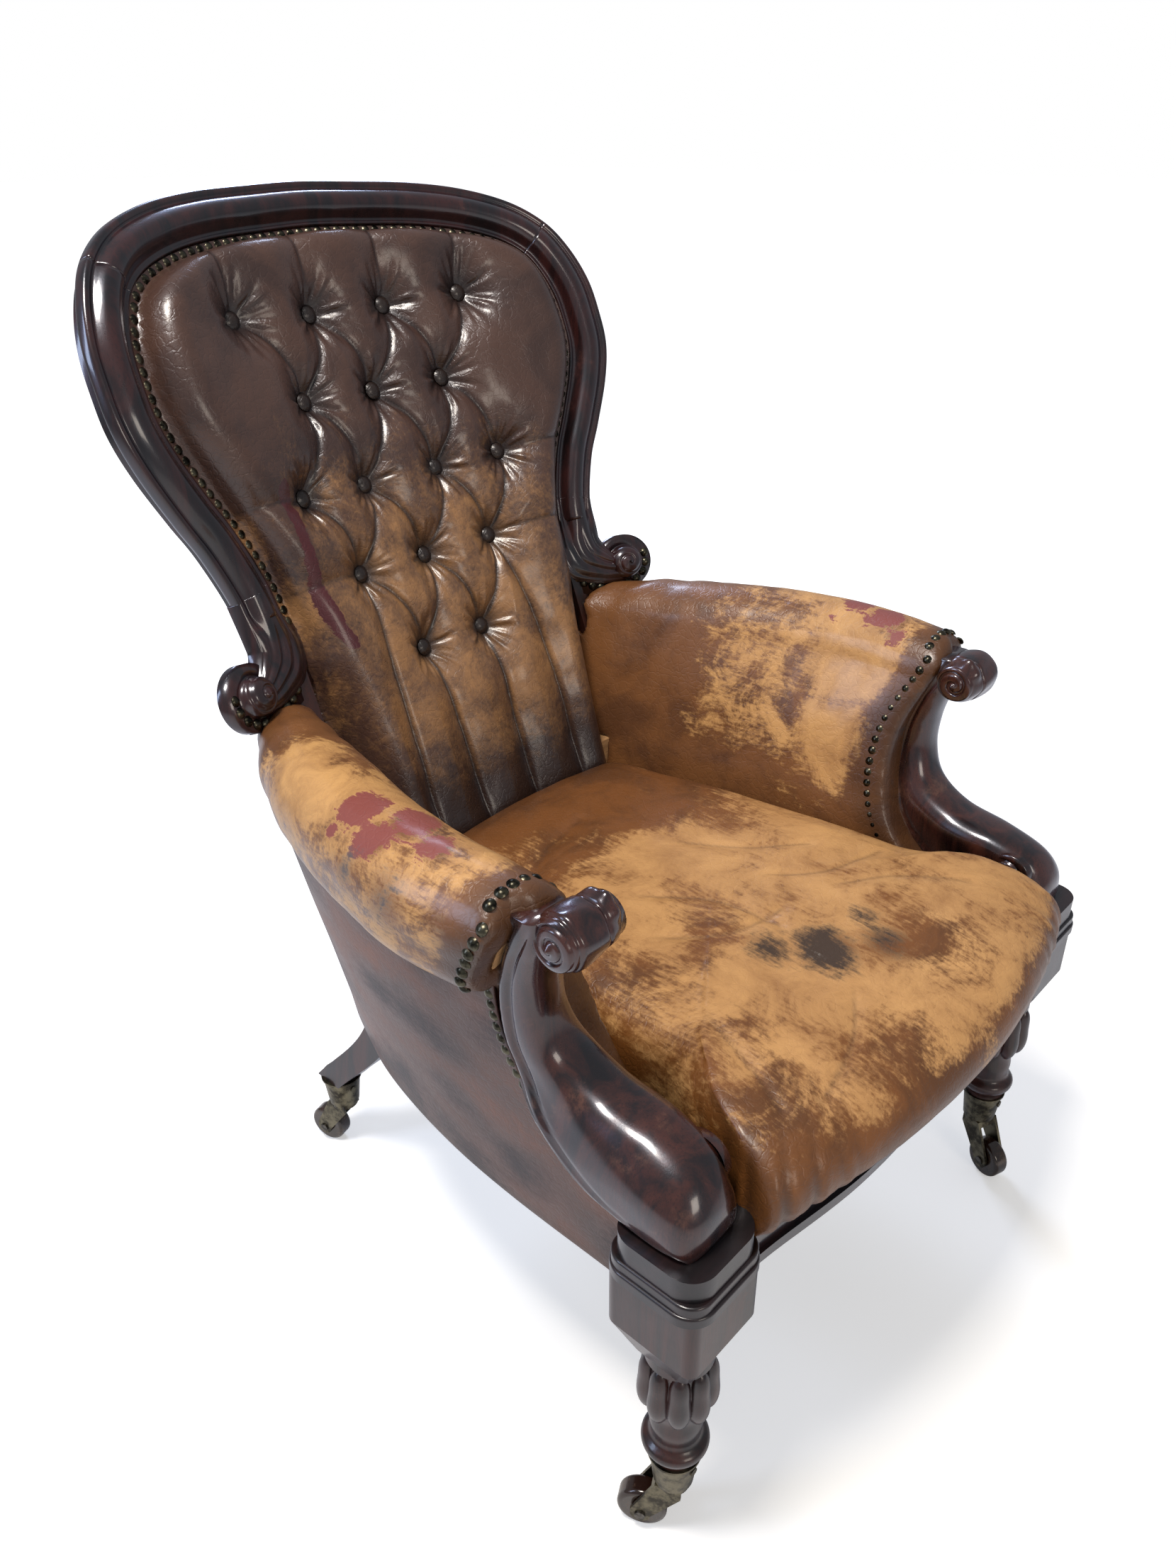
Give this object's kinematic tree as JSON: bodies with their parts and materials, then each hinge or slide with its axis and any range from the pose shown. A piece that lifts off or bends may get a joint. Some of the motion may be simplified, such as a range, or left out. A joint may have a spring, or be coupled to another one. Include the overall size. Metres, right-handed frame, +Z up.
{
  "type": "spoon-back library armchair",
  "caption": "Upholstered spoon-back armchair with a carved show-wood frame, deep-buttoned leather back, rolled arms, turned front legs and swivelling castors.",
  "frame": {"origin": "centre of the bounding box in plan, at the bottom of the castor wheels", "axes": "+Z up, -Y the way the sitter faces, +X the sitter's left"},
  "size_m": [0.675, 0.8061, 0.9764],
  "materials": {
    "show_wood": "polished mahogany, glossy",
    "frame_wood": "raw beech, matt",
    "leg_wood": "polished mahogany, worn paler",
    "back_leather": "buttoned brown leather, worn",
    "arm_leather": "tan leather, stained dark red",
    "seat_leather": "tan leather, creased",
    "panel_leather": "mottled dark brown leather",
    "brass": "aged brass",
    "nail_brass": "antiqued brass",
    "axle_steel": "dull steel",
    "castor_wheel": "dark brown glazed bowl",
    "stuffing": "hair stuffing",
    "canvas": "jute canvas",
    "black_cloth": "black cotton",
    "spring_steel": "coppered steel wire"
  },
  "bodies": {
    "chair": {"crest_rail": "show_wood", "back_stile_left": "show_wood", "back_stile_right": "show_wood", "front_leg_left": "leg_wood", "front_leg_right": "leg_wood", "leg_cap_left": "show_wood", "leg_cap_right": "show_wood", "rear_leg_left": "leg_wood", "rear_leg_right": "leg_wood", "side_seat_rail_left": "frame_wood", "side_seat_rail_right": "frame_wood", "arm_facing_left": "show_wood", "arm_facing_right": "show_wood", "arm_rail_left": "frame_wood", "arm_rail_right": "frame_wood", "front_seat_rail": "show_wood", "rear_seat_rail": "frame_wood", "back_cross_rail": "frame_wood", "corner_blocks": "frame_wood", "corner_block_screws": "axle_steel", "shoulder_dowels": "frame_wood", "back_buttons": "back_leather", "castor_screws": "brass", "seat_cover": "seat_leather", "seat_stuffing": "stuffing", "seat_canvas": "canvas", "seat_springs": "spring_steel", "seat_webbing": "canvas", "bottom_cloth": "black_cloth", "arm_pad_left": "arm_leather", "arm_pad_right": "arm_leather", "outside_arm_panel_left": "panel_leather", "outside_arm_panel_right": "panel_leather", "outside_back_panel": "panel_leather", "back_pad": "back_leather", "back_nails": "nail_brass", "arm_nails_left": "nail_brass", "arm_nails_right": "nail_brass", "front_rail_tacks": "nail_brass", "castor_cup_front_left": "brass", "castor_cup_front_right": "brass", "castor_cup_rear_left": "brass", "castor_cup_rear_right": "brass"},
    "castor_front_left": {"castor_horn_front_left": "brass", "castor_axle_front_left": "axle_steel"},
    "wheel_front_left": {"castor_wheel_front_left": "castor_wheel"},
    "castor_front_right": {"castor_horn_front_right": "brass", "castor_axle_front_right": "axle_steel"},
    "wheel_front_right": {"castor_wheel_front_right": "castor_wheel"},
    "castor_rear_left": {"castor_horn_rear_left": "brass", "castor_axle_rear_left": "axle_steel"},
    "wheel_rear_left": {"castor_wheel_rear_left": "castor_wheel"},
    "castor_rear_right": {"castor_horn_rear_right": "brass", "castor_axle_rear_right": "axle_steel"},
    "wheel_rear_right": {"castor_wheel_rear_right": "castor_wheel"}
  },
  "joints": [
    {"name": "swivel_front_left", "type": "hinge", "parent": "chair", "child": "castor_front_left", "pos_m": [0.27, -0.314, 0.066], "axis": [0, 0, 1], "continuous": true},
    {"name": "wheel_spin_front_left", "type": "hinge", "parent": "castor_front_left", "child": "wheel_front_left", "pos_m": [0.26179, -0.33655, 0.021], "axis": [0.9397, -0.342, 0], "continuous": true},
    {"name": "swivel_front_right", "type": "hinge", "parent": "chair", "child": "castor_front_right", "pos_m": [-0.27, -0.314, 0.066], "axis": [0, 0, 1], "continuous": true},
    {"name": "wheel_spin_front_right", "type": "hinge", "parent": "castor_front_right", "child": "wheel_front_right", "pos_m": [-0.28127, -0.29281, 0.021], "axis": [-0.8829, -0.4695, 0], "continuous": true},
    {"name": "swivel_rear_left", "type": "hinge", "parent": "chair", "child": "castor_rear_left", "pos_m": [0.184, 0.226, 0.066], "axis": [0, 0, 1], "continuous": true},
    {"name": "wheel_spin_rear_left", "type": "hinge", "parent": "castor_rear_left", "child": "wheel_rear_left", "pos_m": [0.196, 0.24679, 0.021], "axis": [-0.866, 0.5, 0], "continuous": true},
    {"name": "swivel_rear_right", "type": "hinge", "parent": "chair", "child": "castor_rear_right", "pos_m": [-0.184, 0.226, 0.066], "axis": [0, 0, 1], "continuous": true},
    {"name": "wheel_spin_rear_right", "type": "hinge", "parent": "castor_rear_right", "child": "wheel_rear_right", "pos_m": [-0.19021, 0.24918, 0.021], "axis": [-0.9659, -0.2588, 0], "continuous": true}
  ]
}
